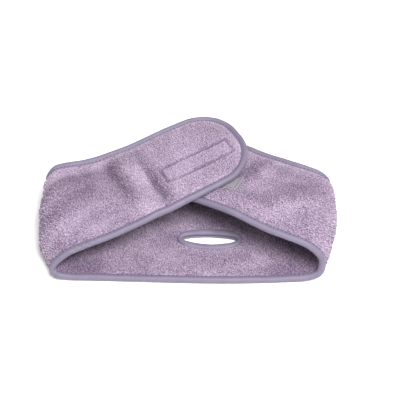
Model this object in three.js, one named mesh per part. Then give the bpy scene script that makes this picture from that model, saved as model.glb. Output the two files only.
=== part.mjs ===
// Spa headband: one long band of thick fleece, bound all round, folded into a loop and lying on
// its back. The flap on the left arm closes over the right arm with a hook and loop tape.
// Millimetres. The band is drawn flat first, u along it from the tip of the right arm to the tip
// of the flap, v across it towards the far edge and w outwards, and then laid along its fold.
import * as THREE from 'three';
import { mergeVertices } from 'three/addons/utils/BufferGeometryUtils.js';

// how the band lies: centre x, y, z, turn and tilt of the cross direction in degrees, and how
// far the middle of the width bulges outwards
const lie = [
  [-24, 130, 29, -31, 0, 0],
  [17, 107.5, 33.4, -30, -2.5, 1],
  [57, 84, 36.2, -27, -6, 3],
  [87, 66.8, 35.5, -19, -3, 6],
  [108, 58.5, 32, -14, -3, 8],
  [118.5, 54, 21, -9, -1, 8.5],
  [112, 50.5, 8, -2, 0, 3.5],
  [95, 49.2, 2.8, 0, 0, 0],
  [40, 48, 2.8, 0, 0, 0],
  [-40, 50, 2.8, 0, 0, 0],
  [-95, 51, 2.8, 0, 0, 0],
  [-111, 51, 7, 1, 2, 3.5],
  [-121, 54, 18, 8, 8, 8],
  [-110, 60.5, 29.5, 14, 9, 7],
  [-80, 71.5, 32, 19, 4, 3],
  [-35, 90.8, 39, 25.5, 0, 1],
  [3, 109.4, 46.2, 29, 0, 1],
  [46, 138.4, 48.2, 27.5, -2, 0],
];
const rightFoldStation = 5;
const leftFoldStation = 12;

const midHalfWidth = 49;
const tipHalfWidth = 44;
const cornerRadius = 40;
const cornerSteps = 6;

const fleeceHalfThick = 2.8;
const pressedHalfThick = 1.2;
// the fleece is pressed thin under the binding: inset from the finished edge, half thickness
const fleeceBorder = [[2.5, pressedHalfThick], [6.3, pressedHalfThick], [7.9, fleeceHalfThick]];
const fillPoints = 5;

// binding outline: inset from the finished edge, height
const bindingSection = [
  [5.9, 2.1], [3.4, 2.15], [2, 2.5], [0.7, 2], [0, 0], [0.7, -2], [2, -2.5], [3.4, -2.15],
  [5.9, -2.1], [5.9, -1.5], [2, -1.5], [2, 1.5], [5.9, 1.5],
];
const seamInset = 4.9;
const threadHalf = 0.4;
const bindingSeamHeight = [2.4, 2.7];

const flapFoldAt = 512;
const foldGap = 0.4;

const slit = { u: 277.5, v: -2.2, halfLength: 25, halfWidth: 5.5, steps: 12 };
const slitBorder = [[7.2, fleeceHalfThick], [5.8, pressedHalfThick], [2.5, pressedHalfThick]];
const slitBindingSection = [
  [5.4, 2.1], [3.4, 2.15], [2, 2.6], [0.7, 2], [0, 0], [0.7, -2], [2, -2.6],
  [3.4, -2.15], [5.4, -2.1], [5.4, -1.5], [2, -1.5], [2, 1.5], [5.4, 1.5],
];
const slitSeamInset = 4.5;

const surfaceGap = 0.3;
const loopTape = { u0: 14, u1: 86.5, v0: -23, v1: -3, thick: 1.2 };
const hookTape = { fromTip: 16.5, length: 68, v0: -18, v1: -0.5, thick: 1.2 };
const tapeSeamInset = 2;

const fleeceColour = 0xb9a3c4;
const bindingColour = 0xa29db4;
const threadColour = 0x6f6880;
const hookColour = 0xd5d2da;
const loopColour = 0xc9c6cf;

// ---- the lie of the band ----

// smooth curve through the stations that never overshoots a flat stretch
function tangents(at, value) {
  const slope = at.slice(1).map((a, i) => (value[i + 1] - value[i]) / (a - at[i]));
  return at.map((_, i) => {
    if (i === 0) return slope[0];
    if (i === at.length - 1) return slope[i - 1];
    const [before, after] = [slope[i - 1], slope[i]];
    if (before * after <= 0) return 0;
    const [h0, h1] = [at[i] - at[i - 1], at[i + 1] - at[i]];
    const [w0, w1] = [2 * h1 + h0, h1 + 2 * h0];
    return (w0 + w1) / (w0 / before + w1 / after);
  });
}

const knots = [0];
for (let i = 1; i < lie.length; i++) {
  const step = Math.hypot(...[0, 1, 2].map((k) => lie[i][k] - lie[i - 1][k]));
  knots.push(knots[i - 1] + step);
}
const channels = lie[0].map((_, k) => lie.map((station) => station[k]));
const slopes = channels.map((values) => tangents(knots, values));

function station(t) {
  let i = 0;
  while (i < knots.length - 2 && t > knots[i + 1]) i++;
  const h = knots[i + 1] - knots[i];
  const s = (t - knots[i]) / h;
  const [s2, s3] = [s * s, s * s * s];
  return channels.map((y, k) => (2 * s3 - 3 * s2 + 1) * y[i] + (s3 - 2 * s2 + s) * h * slopes[k][i]
    + (3 * s2 - 2 * s3) * y[i + 1] + (s3 - s2) * h * slopes[k][i + 1]);
}

// true length along the centre line, so that u is a length of cloth
const lengthSteps = 2400;
const knotAt = [];
const lengthAt = [0];
for (let i = 0; i <= lengthSteps; i++) {
  knotAt.push(knots.at(-1) * i / lengthSteps);
  if (i === 0) continue;
  const [a, b] = [station(knotAt[i - 1]), station(knotAt[i])];
  lengthAt.push(lengthAt[i - 1] + Math.hypot(b[0] - a[0], b[1] - a[1], b[2] - a[2]));
}
const bandLength = lengthAt.at(-1);

function lookUp(from, to, value) {
  let [low, high] = [0, from.length - 1];
  while (high - low > 1) {
    const mid = (low + high) >> 1;
    if (from[mid] > value) high = mid; else low = mid;
  }
  const s = (value - from[low]) / (from[high] - from[low]);
  return to[low] + s * (to[high] - to[low]);
}
const stationLength = (index) => lookUp(knotAt, lengthAt, knots[index]);

const nudge = 0.5;

function middleSurface(u, v) {
  const inside = Math.min(Math.max(u, nudge), bandLength - nudge);
  const here = station(lookUp(lengthAt, knotAt, u));
  const behind = station(lookUp(lengthAt, knotAt, inside - nudge));
  const ahead = station(lookUp(lengthAt, knotAt, inside + nudge));
  const turn = THREE.MathUtils.degToRad(here[3]);
  const tilt = THREE.MathUtils.degToRad(here[4]);
  const across = new THREE.Vector3(-Math.sin(turn) * Math.cos(tilt),
    Math.cos(turn) * Math.cos(tilt), Math.sin(tilt));
  const along = new THREE.Vector3(ahead[0] - behind[0], ahead[1] - behind[1], ahead[2] - behind[2]);
  const outward = along.clone().cross(across).normalize();
  const rise = here[5] * (1 - (v / midHalfWidth) ** 2);
  return new THREE.Vector3(here[0], here[1], here[2])
    .addScaledVector(across, v).addScaledVector(outward, rise);
}

function drape([u, v, w]) {
  const inside = Math.min(Math.max(u, nudge), bandLength - nudge);
  const along = middleSurface(inside + nudge, v).sub(middleSurface(inside - nudge, v));
  const across = middleSurface(u, v + nudge).sub(middleSurface(u, v - nudge));
  return middleSurface(u, v).addScaledVector(along.cross(across).normalize(), w);
}

// ---- closed solids from flat drawings ----

function closedMesh(name, triangles, colour) {
  const same = (a, b) => a.distanceToSquared(b) < 1e-8;
  const kept = triangles.filter(([a, b, c]) => !same(a, b) && !same(b, c) && !same(a, c));
  let volume = 0;
  for (const [a, b, c] of kept) volume += a.dot(b.clone().cross(c));
  const numbers = [];
  for (const [a, b, c] of kept) {
    for (const p of volume > 0 ? [a, b, c] : [a, c, b]) numbers.push(p.x, p.y, p.z);
  }
  const soup = new THREE.BufferGeometry();
  soup.setAttribute('position', new THREE.Float32BufferAttribute(numbers, 3));
  const geometry = mergeVertices(soup, 1e-3);
  geometry.computeVertexNormals();
  const mesh = new THREE.Mesh(geometry, new THREE.MeshStandardMaterial({ color: colour }));
  mesh.name = name;
  return mesh;
}

const quad = (a, b, c, d) => [[a, b, c], [a, c, d]];

// rows of points [u, v, top, bottom]; a hole can open between columns holeAfter and the next
function sheetSolid(name, rows, colour, holeAfter = -1) {
  const top = rows.map((row) => row.map(([u, v, high]) => drape([u, v, high])));
  const bottom = rows.map((row) => row.map(([u, v, , low]) => drape([u, v, low])));
  const last = { row: rows.length - 1, column: rows[0].length - 1 };
  const triangles = [];
  const wall = (i, j, k, l) => triangles.push(...quad(top[i][j], top[k][l], bottom[k][l],
    bottom[i][j]));
  for (let i = 0; i < last.row; i++) {
    for (let j = 0; j < last.column; j++) {
      if (j === holeAfter) continue;
      triangles.push(...quad(top[i][j], top[i + 1][j], top[i + 1][j + 1], top[i][j + 1]));
      triangles.push(...quad(bottom[i][j], bottom[i][j + 1], bottom[i + 1][j + 1],
        bottom[i + 1][j]));
    }
    wall(i + 1, 0, i, 0);
    wall(i, last.column, i + 1, last.column);
    const open = (k) => top[k][holeAfter].distanceTo(top[k][holeAfter + 1]) > 1e-3;
    if (holeAfter >= 0 && (open(i) || open(i + 1))) {
      wall(i, holeAfter, i + 1, holeAfter);
      wall(i + 1, holeAfter + 1, i, holeAfter + 1);
    }
  }
  for (let j = 0; j < last.column; j++) {
    wall(0, j, 0, j + 1);
    wall(last.row, j + 1, last.row, j);
  }
  return closedMesh(name, triangles, colour);
}

// a section of points [inset, w] carried along a path of functions inset -> [u, v]
function trimSolid(name, path, section, colour, closed = false) {
  const rings = path.map((edge) => section.map(([inset, w]) => drape([...edge(inset), w])));
  const triangles = [];
  const spans = closed ? rings.length : rings.length - 1;
  for (let i = 0; i < spans; i++) {
    const [here, next] = [rings[i], rings[(i + 1) % rings.length]];
    for (let j = 0; j < section.length; j++) {
      const k = (j + 1) % section.length;
      triangles.push(...quad(here[j], here[k], next[k], next[j]));
    }
  }
  if (!closed) {
    const outline = section.map(([inset, w]) => new THREE.Vector2(inset, w));
    const end = rings.at(-1);
    const clockwise = THREE.ShapeUtils.area(outline) < 0;
    for (const [a, b, c] of THREE.ShapeUtils.triangulateShape(outline, [])) {
      const [p, q] = clockwise ? [c, b] : [b, c];
      triangles.push([rings[0][a], rings[0][q], rings[0][p]], [end[a], end[p], end[q]]);
    }
  }
  return closedMesh(name, triangles, colour);
}

// ---- rows across the band ----

const halfWidth = (u) => midHalfWidth
  - (midHalfWidth - tipHalfWidth) * Math.abs(2 * u / bandLength - 1) ** 1.4;

function plainRow(u) {
  return {
    near: (inset) => [u, inset - halfWidth(u)],
    far: (inset) => [u, halfWidth(u) - inset],
    border: fleeceBorder,
  };
}

// rows round the two corners of a tip, from the straight end to the full width
function tipRows(end) {
  const into = end === 0 ? 1 : -1;
  const centre = end + into * cornerRadius;
  const side = halfWidth(centre) - cornerRadius;
  const rows = [];
  for (let i = 0; i <= cornerSteps; i++) {
    const angle = Math.PI / 2 * i / cornerSteps;
    const reach = (inset) => (cornerRadius - inset);
    const u = (inset) => centre - into * reach(inset) * Math.cos(angle);
    rows.push({
      near: (inset) => [u(inset), -side - reach(inset) * Math.sin(angle)],
      far: (inset) => [u(inset), side + reach(inset) * Math.sin(angle)],
      border: fleeceBorder,
    });
  }
  // the straight end, where the border's steps lie one behind the other
  const ends = [0, 1].map((step) => {
    const deep = (i) => Math.min(i, step);
    return {
      near: (inset) => [end + into * inset, -side],
      far: (inset) => [end + into * inset, side],
      border: fleeceBorder.map((_, i) => fleeceBorder[deep(i)]),
    };
  });
  return { ends, corners: rows };
}

function evenly(from, to, step) {
  const count = Math.max(1, Math.round(Math.abs(to - from) / step));
  return Array.from({ length: count + 1 }, (_, i) => from + (to - from) * i / count);
}

const between = (a, b, count) => Array.from({ length: count }, (_, i) => {
  const s = (i + 1) / (count + 1);
  return [a[0] + (b[0] - a[0]) * s, a[1] + (b[1] - a[1]) * s];
});

const cell = ([u, v], half) => [u, v, half, -half];

function fleeceRow(row) {
  const near = row.border.map(([inset, half]) => cell(row.near(inset), half));
  const far = row.border.map(([inset, half]) => cell(row.far(inset), half)).reverse();
  const half = row.border.at(-1)[1];
  const fill = between(near.at(-1), far[0], fillPoints).map((point) => cell(point, half));
  return [...near, ...fill, ...far];
}

// ---- the slit in the back ----

function slitEdge(angle) {
  const { u, v, halfLength, halfWidth: half } = slit;
  const [c, s] = [Math.cos(angle), Math.sin(angle)];
  const size = Math.hypot(half * c, halfLength * s);
  return (inset) => [u + halfLength * c + inset * half * c / size,
    v + half * s + inset * halfLength * s / size];
}

const slitReach = slit.halfLength + slitBorder[0][0];
const slitFill = 3;

function backRow(u, angle) {
  const opening = angle === undefined
    ? () => () => [u, slit.v] : (sign) => slitEdge(sign * angle);
  const ring = (sign) => slitBorder.map(([inset, half]) => cell(opening(sign)(inset),
    angle === undefined ? fleeceHalfThick : half));
  const [nearRing, farRing] = [ring(-1), ring(1).reverse()];
  const row = plainRow(nearRing[0][0]);
  const near = fleeceBorder.map(([inset, half]) => cell(row.near(inset), half));
  const far = fleeceBorder.map(([inset, half]) => cell(row.far(inset), half)).reverse();
  const fill = (a, b) => between(a, b, slitFill).map((point) => cell(point, fleeceHalfThick));
  return [...near, ...fill(near.at(-1), nearRing[0]), ...nearRing, ...farRing,
    ...fill(farRing.at(-1), far[0]), ...far];
}

// ---- the four stretches of the band ----

const rightFoldAt = stationLength(rightFoldStation);
const leftFoldAt = stationLength(leftFoldStation);
const half = foldGap / 2;
const bendStep = 5.5;
const flatStep = 12;

const backFrom = rightFoldAt + half;
const backTo = leftFoldAt - half;
const backBendFrom = rightFoldAt + 33;
const backBendTo = leftFoldAt - 33;
const outerSlit = [slit.u - slitReach, slit.u + slitReach];

const backRows = [
  ...evenly(backFrom, backBendFrom, bendStep).map((u) => backRow(u)),
  ...evenly(backBendFrom, outerSlit[0] - 1, flatStep).slice(1).map((u) => backRow(u)),
  ...evenly(Math.PI, 0, Math.PI / slit.steps).map((angle) => backRow(0, angle)),
  ...evenly(outerSlit[1] + 1, backBendTo, flatStep).map((u) => backRow(u)),
  ...evenly(backBendTo, backTo, bendStep).slice(1).map((u) => backRow(u)),
];
const backColumns = fleeceBorder.length + slitFill + slitBorder.length - 1;
const backEdgeRows = [
  ...evenly(backFrom, backBendFrom, bendStep),
  ...evenly(backBendFrom, backBendTo, flatStep).slice(1),
  ...evenly(backBendTo, backTo, bendStep).slice(1),
].map(plainRow);

const rightTip = tipRows(0);
const rightRows = [
  ...evenly(cornerRadius, 104, flatStep).slice(1),
  ...evenly(104, rightFoldAt - half, bendStep).slice(1),
].map(plainRow);

const leftRows = [
  ...evenly(leftFoldAt + half, leftFoldAt + 38, bendStep),
  ...evenly(leftFoldAt + 38, flapFoldAt - half, flatStep).slice(1),
].map(plainRow);

const flapTip = tipRows(bandLength);
const flapRows = evenly(flapFoldAt + half, bandLength - cornerRadius, flatStep).slice(0, -1)
  .map(plainRow);

const nearSides = (rows) => rows.map((row) => row.near);
const farSides = (rows) => rows.map((row) => row.far);
const roundTip = (rows) => [...nearSides(rows).reverse(), ...farSides(rows)];

// ---- the pieces ----

const threadSection = (inset, [low, high]) => [
  [inset - threadHalf, low], [inset + threadHalf, low],
  [inset + threadHalf, high], [inset - threadHalf, high],
];
const outerSeam = threadSection(seamInset, bindingSeamHeight);
const innerSeam = threadSection(seamInset, bindingSeamHeight.map((w) => -w));

function fleecePieces() {
  return [
    sheetSolid('back_panel', backRows, fleeceColour, backColumns),
    sheetSolid('right_arm_panel',
      [...rightTip.ends, ...rightTip.corners, ...rightRows].map(fleeceRow), fleeceColour),
    sheetSolid('left_arm_panel', leftRows.map(fleeceRow), fleeceColour),
    sheetSolid('flap_panel',
      [...flapRows, ...flapTip.corners.slice().reverse(), ...flapTip.ends.slice().reverse()]
        .map(fleeceRow), fleeceColour),
  ];
}

function edgePieces(label, section, backSection, colour) {
  const right = [...rightTip.corners, ...rightRows];
  const flap = [...flapTip.corners, ...flapRows.slice().reverse()];
  return [
    trimSolid(`back_${label}_near`, nearSides(backEdgeRows), backSection, colour),
    trimSolid(`back_${label}_far`, farSides(backEdgeRows), backSection, colour),
    trimSolid(`right_arm_${label}`, roundTip(right), section, colour),
    trimSolid(`left_arm_${label}_near`, nearSides(leftRows), section, colour),
    trimSolid(`left_arm_${label}_far`, farSides(leftRows), section, colour),
    trimSolid(`flap_${label}`, roundTip(flap), section, colour),
  ];
}

function slitPieces() {
  const path = evenly(0, 2 * Math.PI, Math.PI / slit.steps).slice(0, -1).map(slitEdge);
  const seam = threadSection(slitSeamInset, bindingSeamHeight.map((w) => -w));
  return [
    trimSolid('slit_binding', path, slitBindingSection, bindingColour, true),
    trimSolid('slit_seam', path, seam, threadColour, true),
  ];
}

const tapeSteps = 6;

// a strip of tape on one face of the band, side 1 for the outer face and -1 for the inner
function tapePieces(label, { u0, u1, v0, v1, thick }, side, seamBase) {
  const low = fleeceHalfThick + surfaceGap;
  const heights = side > 0 ? [low + thick, low] : [-low, -low - thick];
  const columns = evenly(v0, v1, (v1 - v0) / 3);
  const rows = evenly(u0, u1, (u1 - u0) / tapeSteps)
    .map((u) => columns.map((v) => [u, v, ...heights]));
  const corners = [[u0, v0], [u1, v0], [u1, v1], [u0, v1]];
  const middle = [(u0 + u1) / 2, (v0 + v1) / 2];
  const path = corners.flatMap(([u, v], i) => {
    const [nextU, nextV] = corners[(i + 1) % 4];
    const count = i % 2 === 0 ? tapeSteps : 1;
    return Array.from({ length: count }, (_, k) => [u + (nextU - u) * k / count,
      v + (nextV - v) * k / count]);
  }).map(([u, v]) => (inset) => [u + insetAt(u, u0, u1, middle[0], inset),
    v + insetAt(v, v0, v1, middle[1], inset)]);
  const seam = threadSection(tapeSeamInset, [seamBase, seamBase + threadHalf]);
  return [
    sheetSolid(label, rows, label === 'loop_tape' ? loopColour : hookColour),
    trimSolid(`${label}_stitching`, path, seam, threadColour, true),
  ];
}

function insetAt(value, low, high, middle, inset) {
  const onEdge = Math.abs(value - low) < 1e-6 || Math.abs(value - high) < 1e-6;
  return onEdge ? Math.sign(middle - value) * inset : 0;
}

const hookFrom = bandLength - hookTape.fromTip - hookTape.length;
const hookStrip = { ...hookTape, u0: hookFrom, u1: hookFrom + hookTape.length };
const onLoop = fleeceHalfThick + 2 * surfaceGap + loopTape.thick;
const onFleece = fleeceHalfThick + surfaceGap;

const group = new THREE.Group();
group.name = 'spa_headband';
group.add(
  ...fleecePieces(),
  ...edgePieces('binding', bindingSection, bindingSection, bindingColour),
  ...edgePieces('seam', outerSeam, innerSeam, threadColour),
  ...slitPieces(),
  ...tapePieces('loop_tape', loopTape, 1, onLoop),
  ...tapePieces('hook_tape', hookStrip, -1, onFleece),
);

// origin under the middle of the whole part, z 0 where it rests
const box = new THREE.Box3().setFromObject(group);
const centre = box.getCenter(new THREE.Vector3());
for (const mesh of group.children) mesh.geometry.translate(-centre.x, -centre.y, -box.min.z);

export default group;
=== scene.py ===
import math
import bpy
import numpy as np
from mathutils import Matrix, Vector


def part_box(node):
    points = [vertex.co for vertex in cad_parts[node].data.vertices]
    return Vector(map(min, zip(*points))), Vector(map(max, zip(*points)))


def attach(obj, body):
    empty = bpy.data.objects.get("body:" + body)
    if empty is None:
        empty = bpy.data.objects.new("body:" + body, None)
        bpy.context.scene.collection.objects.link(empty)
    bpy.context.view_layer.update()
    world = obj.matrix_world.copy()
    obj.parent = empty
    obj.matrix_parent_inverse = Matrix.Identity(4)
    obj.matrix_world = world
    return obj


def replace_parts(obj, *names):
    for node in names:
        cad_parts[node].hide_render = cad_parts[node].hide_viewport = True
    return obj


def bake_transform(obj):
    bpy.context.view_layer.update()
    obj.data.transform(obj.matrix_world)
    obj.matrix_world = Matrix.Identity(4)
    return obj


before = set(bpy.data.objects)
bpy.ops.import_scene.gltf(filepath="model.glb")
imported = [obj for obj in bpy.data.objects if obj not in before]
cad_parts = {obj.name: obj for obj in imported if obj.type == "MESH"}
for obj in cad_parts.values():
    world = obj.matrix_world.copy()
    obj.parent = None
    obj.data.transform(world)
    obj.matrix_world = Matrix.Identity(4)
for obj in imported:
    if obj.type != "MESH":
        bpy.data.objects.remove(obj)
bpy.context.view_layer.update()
print("frame loaded")

# The band is drawn flat and then laid along its fold. u runs along the cloth from the tip of the
# right arm, v runs across it to the far edge, w points outwards. Drawing sizes are millimetres.
mm = 0.001

# centre x, y, z, turn and tilt of the cross direction in degrees, bulge of the middle outwards
lie = [
    (-24, 130, 29, -31, 0, 0),
    (17, 107.5, 33.4, -30, -2.5, 1),
    (57, 84, 36.2, -27, -6, 3),
    (87, 66.8, 35.5, -19, -3, 6),
    (108, 58.5, 32, -14, -3, 8),
    (118.5, 54, 21, -9, -1, 8.5),
    (112, 50.5, 8, -2, 0, 3.5),
    (95, 49.2, 2.8, 0, 0, 0),
    (40, 48, 2.8, 0, 0, 0),
    (-40, 50, 2.8, 0, 0, 0),
    (-95, 51, 2.8, 0, 0, 0),
    (-111, 51, 7, 1, 2, 3.5),
    (-121, 54, 18, 8, 8, 8),
    (-110, 60.5, 29.5, 14, 9, 7),
    (-80, 71.5, 32, 19, 4, 3),
    (-35, 90.8, 39, 25.5, 0, 1),
    (3, 109.4, 46.2, 29, 0, 1),
    (46, 138.4, 48.2, 27.5, -2, 0),
]

band = {
    "midHalfWidth": 49,
    "tipHalfWidth": 44,
    "taper": 1.4,
    "cornerRadius": 40,
    "splitInBack": 322,  # cloth length where the right and left stretches of fleece meet
    "splitInArm": 468,  # and where the left stretch meets the flap
}


def smooth(x, low, high):
    t = np.clip((x - low) / (high - low), 0, 1)
    return t * t * (3 - 2 * t)


def pchipSlopes(at, values):
    gap = np.diff(at)
    slope = np.diff(values, axis=0) / gap[:, None]
    slopes = np.zeros_like(values)
    slopes[0], slopes[-1] = slope[0], slope[-1]
    before, after = slope[:-1], slope[1:]
    early = (2 * gap[1:] + gap[:-1])[:, None]
    late = (gap[1:] + 2 * gap[:-1])[:, None]
    same = before * after > 0
    safeBefore = np.where(same, before, 1)
    safeAfter = np.where(same, after, 1)
    mean = (early + late) / (early / safeBefore + late / safeAfter)
    slopes[1:-1] = np.where(same, mean, 0)
    return slopes


stations = np.array(lie, float)
knots = np.concatenate([[0], np.cumsum(np.linalg.norm(np.diff(stations[:, :3], axis=0), axis=1))])
stationSlopes = pchipSlopes(knots, stations)


def stationAt(t):
    i = np.clip(np.searchsorted(knots, t, side="right") - 1, 0, len(knots) - 2)
    h = (knots[i + 1] - knots[i])[:, None]
    s = ((t - knots[i]) / h[:, 0])[:, None]
    return ((2 * s**3 - 3 * s**2 + 1) * stations[i] + (s**3 - 2 * s**2 + s) * h * stationSlopes[i]
            + (3 * s**2 - 2 * s**3) * stations[i + 1] + (s**3 - s**2) * h * stationSlopes[i + 1])


knotSamples = np.linspace(0, knots[-1], 2401)
centreLine = stationAt(knotSamples)[:, :3]
clothSamples = np.concatenate(
    [[0], np.cumsum(np.linalg.norm(np.diff(centreLine, axis=0), axis=1))])
bandLength = clothSamples[-1]

# soft waves of the cloth: place u, v, direction in degrees, length, width, height outwards
creases = [
    (474, 31, 4, 34, 11, -4.2),  # hollow along the left arm's far edge
    (440, 28, 12, 18, 10, -2.4),
    (489, 20, -72, 18, 9, -3.2),
    (503, 4, -86, 34, 7, 3),  # ridge where the arm climbs onto the right arm
    (498, -26, -35, 22, 9, 2.4),
    (521, -8, -88, 34, 6.5, -3.4),  # valley before the stitched box
    (534, -24, -70, 18, 7, 1.6),
    (441, -18, 14, 30, 11, 2.8),  # puffs towards the near edge
    (463, -30, 8, 14, 8, 1.6),
    (452, 8, 20, 20, 8, -1.6),
    (80, 18, 82, 24, 11, -3.4),  # the right arm, from the flap to its fold
    (122, 31, -4, 26, 10, -3.2),
    (96, 12, 75, 20, 7, 1.6),
    (146, 22, -40, 16, 9, -2.6),
    (134, -10, 30, 20, 9, 2.6),
    (104, -28, 6, 26, 9, 2.2),
    (130, 14, 12, 16, 8, -2.6),
    (321, -17, 30, 20, 9, -1.3),  # the back, where the cloth lifts a little
    (299, -10, 10, 12, 6, -1),
    (336, 8, 60, 22, 8, -1.6),
    (246, -28, -20, 24, 8, -1.2),
    (228, 14, 50, 20, 8, -1.4),
]
hookBox = {
    "fromTip": 16.5,
    "length": 68,
    "v0": -18,
    "v1": -0.5,
    "groove": 2.1,
    "width": 1.7,
    "shorter": 0.75,  # how much of their length the tufts lose beside the stitches
    "shorterReach": 3.2,
    "insideLength": 0.65,
    "innerGroove": 0.5,  # share of the groove on the inner face
}
hookEnd = bandLength - hookBox["fromTip"]
hookArea = (hookEnd - hookBox["length"], hookEnd, hookBox["v0"], hookBox["v1"])


def boxDistance(u, v, corners):
    u0, u1, v0, v1 = corners
    du = np.maximum(u0 - u, u - u1)
    dv = np.maximum(v0 - v, v - v1)
    outside = np.hypot(np.maximum(du, 0), np.maximum(dv, 0))
    return np.where((du < 0) & (dv < 0), np.minimum(-du, -dv), outside)


def outsideBox(u, v, corners):
    u0, u1, v0, v1 = corners
    return np.maximum(np.maximum(u0 - u, u - u1), np.maximum(v0 - v, v - v1))


# cloth lengths where each part of the band begins, is full, starts to end and has ended; a part
# that runs on to a tip has only two of them
zones = {
    "rightArmUp": (88, 112, 150, 166),
    "leftArmUp": (452, 480),
    "back": (160, 200, 392, 430),
    "backMiddle": 296,
    "corners": (62, 100),  # distances from the middle of the back where the painted shade of the fold corners comes in
    "rightArm": (150, 170),
    "leftArm": (410, 440, 505, 535),
}
edges = {
    "straighter": 0.7,  # share of each crease that the bound edge takes away
    "straighterBetween": (28, 48),
    "turnUp": 0.7,
    "turnUpBetween": (36, 50),
}
# weights of the painted shade of the pile: slopes, hollows, fold corners, the back and the arms
paintedShadeWeights = {"reach": 2, "alongSlope": 0.9, "rise": 0.035, "corner": 0.6, "back": 0.15, "arms": 0.17}
nudge = 0.5


def zone(u, name):
    comesIn, isFull, goesOut, isGone = zones[name]
    return smooth(u, comesIn, isFull) * (1 - smooth(u, goesOut, isGone))


def relief(u, v):
    rise = np.zeros_like(u)
    for atU, atV, direction, length, width, height in creases:
        c, s = math.cos(math.radians(direction)), math.sin(math.radians(direction))
        along = (u - atU) * c + (v - atV) * s
        across = -(u - atU) * s + (v - atV) * c
        rise += height * np.exp(-(along / length) ** 2 - (across / width) ** 2)
    rise *= 1 - edges["straighter"] * smooth(np.abs(v), *edges["straighterBetween"])
    arms = zone(u, "rightArmUp") + smooth(u, *zones["leftArmUp"])
    return rise + edges["turnUp"] * arms * smooth(v, *edges["turnUpBetween"])  # far edges only


def paintedPileShade(u, v, side):
    # painted shade: darker on slopes that face away from the key light, in hollows and in the fold
    # corners, and a little darker over the back and the arms
    reach = paintedShadeWeights["reach"]
    alongSlope = (relief(u + reach, v) - relief(u - reach, v)) / (2 * reach)
    acrossSlope = (relief(u, v + reach) - relief(u, v - reach)) / (2 * reach)
    inBack = zone(u, "back")
    corner = smooth(np.abs(u - zones["backMiddle"]), *zones["corners"]) * inBack
    onArms = (1 - smooth(u, *zones["rightArm"])) + zone(u, "leftArm")
    slope = acrossSlope - paintedShadeWeights["alongSlope"] * alongSlope * (1 - 2 * inBack)
    tone = side * (slope + paintedShadeWeights["rise"] * relief(u, v))
    return tone - paintedShadeWeights["corner"] * corner - paintedShadeWeights["back"] * inBack - paintedShadeWeights["arms"] * onArms


def middleSurface(u, v):
    inside = np.clip(u, nudge, bandLength - nudge)
    here = stationAt(np.interp(u, clothSamples, knotSamples))
    behind = stationAt(np.interp(inside - nudge, clothSamples, knotSamples))[:, :3]
    ahead = stationAt(np.interp(inside + nudge, clothSamples, knotSamples))[:, :3]
    turn, tilt = np.radians(here[:, 3]), np.radians(here[:, 4])
    across = np.stack([-np.sin(turn) * np.cos(tilt), np.cos(turn) * np.cos(tilt), np.sin(tilt)], 1)
    outward = np.cross(ahead - behind, across)
    outward /= np.linalg.norm(outward, axis=1)[:, None]
    rise = here[:, 5] * (1 - (v / band["midHalfWidth"]) ** 2) + relief(u, v)
    return here[:, :3] + across * v[:, None] + outward * rise[:, None]


def drapeFlat(u, v, w):
    inside = np.clip(u, nudge, bandLength - nudge)
    along = middleSurface(inside + nudge, v) - middleSurface(inside - nudge, v)
    across = middleSurface(u, v + nudge) - middleSurface(u, v - nudge)
    normal = np.cross(along, across)
    normal /= np.linalg.norm(normal, axis=1)[:, None]
    return (middleSurface(u, v) + normal * w[:, None]) * mm


slitBinding = {
    "u": 277.5,
    "v": -2.2,
    "halfLength": 25,
    "halfWidth": 5.5,
    "farPower": 0.85,  # a little fuller on the far side
    "nearPower": 1.15,
    "openingPower": 0.62,
    "reach": 5.4,
    "slimEnds": 0.4,  # the rolled rim is this much narrower at the two points
    "seamInset": 5.5,
    "seamHeight": 2.3,
    "stitchPitch": 3.0,
    "ripple": 0.22,
    "rippleSize": 6,
    "rippleUp": 0.6,
    "rippleBelow": 0.25,  # the side that rests stays flat
}

# the frame's origin is under the middle of the folded band: the slit says where that is
slitLow, slitHigh = (np.array(corner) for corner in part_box("slit_binding"))
drawnSlit = drapeFlat(np.array([slitBinding["u"]]), np.array([slitBinding["v"]]), np.zeros(1))[0]
shift = (slitLow + slitHigh) / 2 - drawnSlit
shift[2] = 0
lowest = 0.00005  # nothing reaches below the surface it rests on


def drape(u, v, w):
    u, v, w = (np.asarray(a, float) for a in np.broadcast_arrays(u, v, w))
    points = drapeFlat(u.ravel(), v.ravel(), w.ravel()) + shift
    points[:, 2] = np.maximum(points[:, 2], lowest)
    return points


# seeded noise in cloth coordinates
def clothNoise(u, v, size, seed):
    rows, columns = 97, 89
    grid = np.random.default_rng(seed).uniform(-1, 1, (rows, columns))
    x, y = u / size, v / size
    i, j = np.floor(x).astype(int), np.floor(y).astype(int)
    fx, fy = x - i, y - j
    fx, fy = fx * fx * (3 - 2 * fx), fy * fy * (3 - 2 * fy)
    i0, i1, j0, j1 = i % rows, (i + 1) % rows, j % columns, (j + 1) % columns
    low = grid[i0, j0] * (1 - fx) + grid[i1, j0] * fx
    high = grid[i0, j1] * (1 - fx) + grid[i1, j1] * fx
    return low * (1 - fy) + high * fy


def addNode(tree, kind, **values):
    node = tree.nodes.new(kind)
    for name, value in values.items():
        setattr(node, name, value)
    return node


def addMath(tree, operation, *terms):
    # each term is a number or the output of another node
    node = addNode(tree, "ShaderNodeMath", operation=operation)
    for socket, term in zip(node.inputs, terms):
        if isinstance(term, bpy.types.NodeSocket):
            tree.links.new(term, socket)
        else:
            socket.default_value = term
    return node.outputs[0]


def addPattern(tree, kind, place, scale, settings, **values):
    # a texture laid along the cloth
    node = addNode(tree, kind, **values)
    for label, value in settings.items():
        node.inputs[label].default_value = value
    tree.links.new(place.outputs["UV"], node.inputs["Vector"])
    tree.links.new(scale, node.inputs["Scale"])
    return node.outputs["Fac"]


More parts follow.
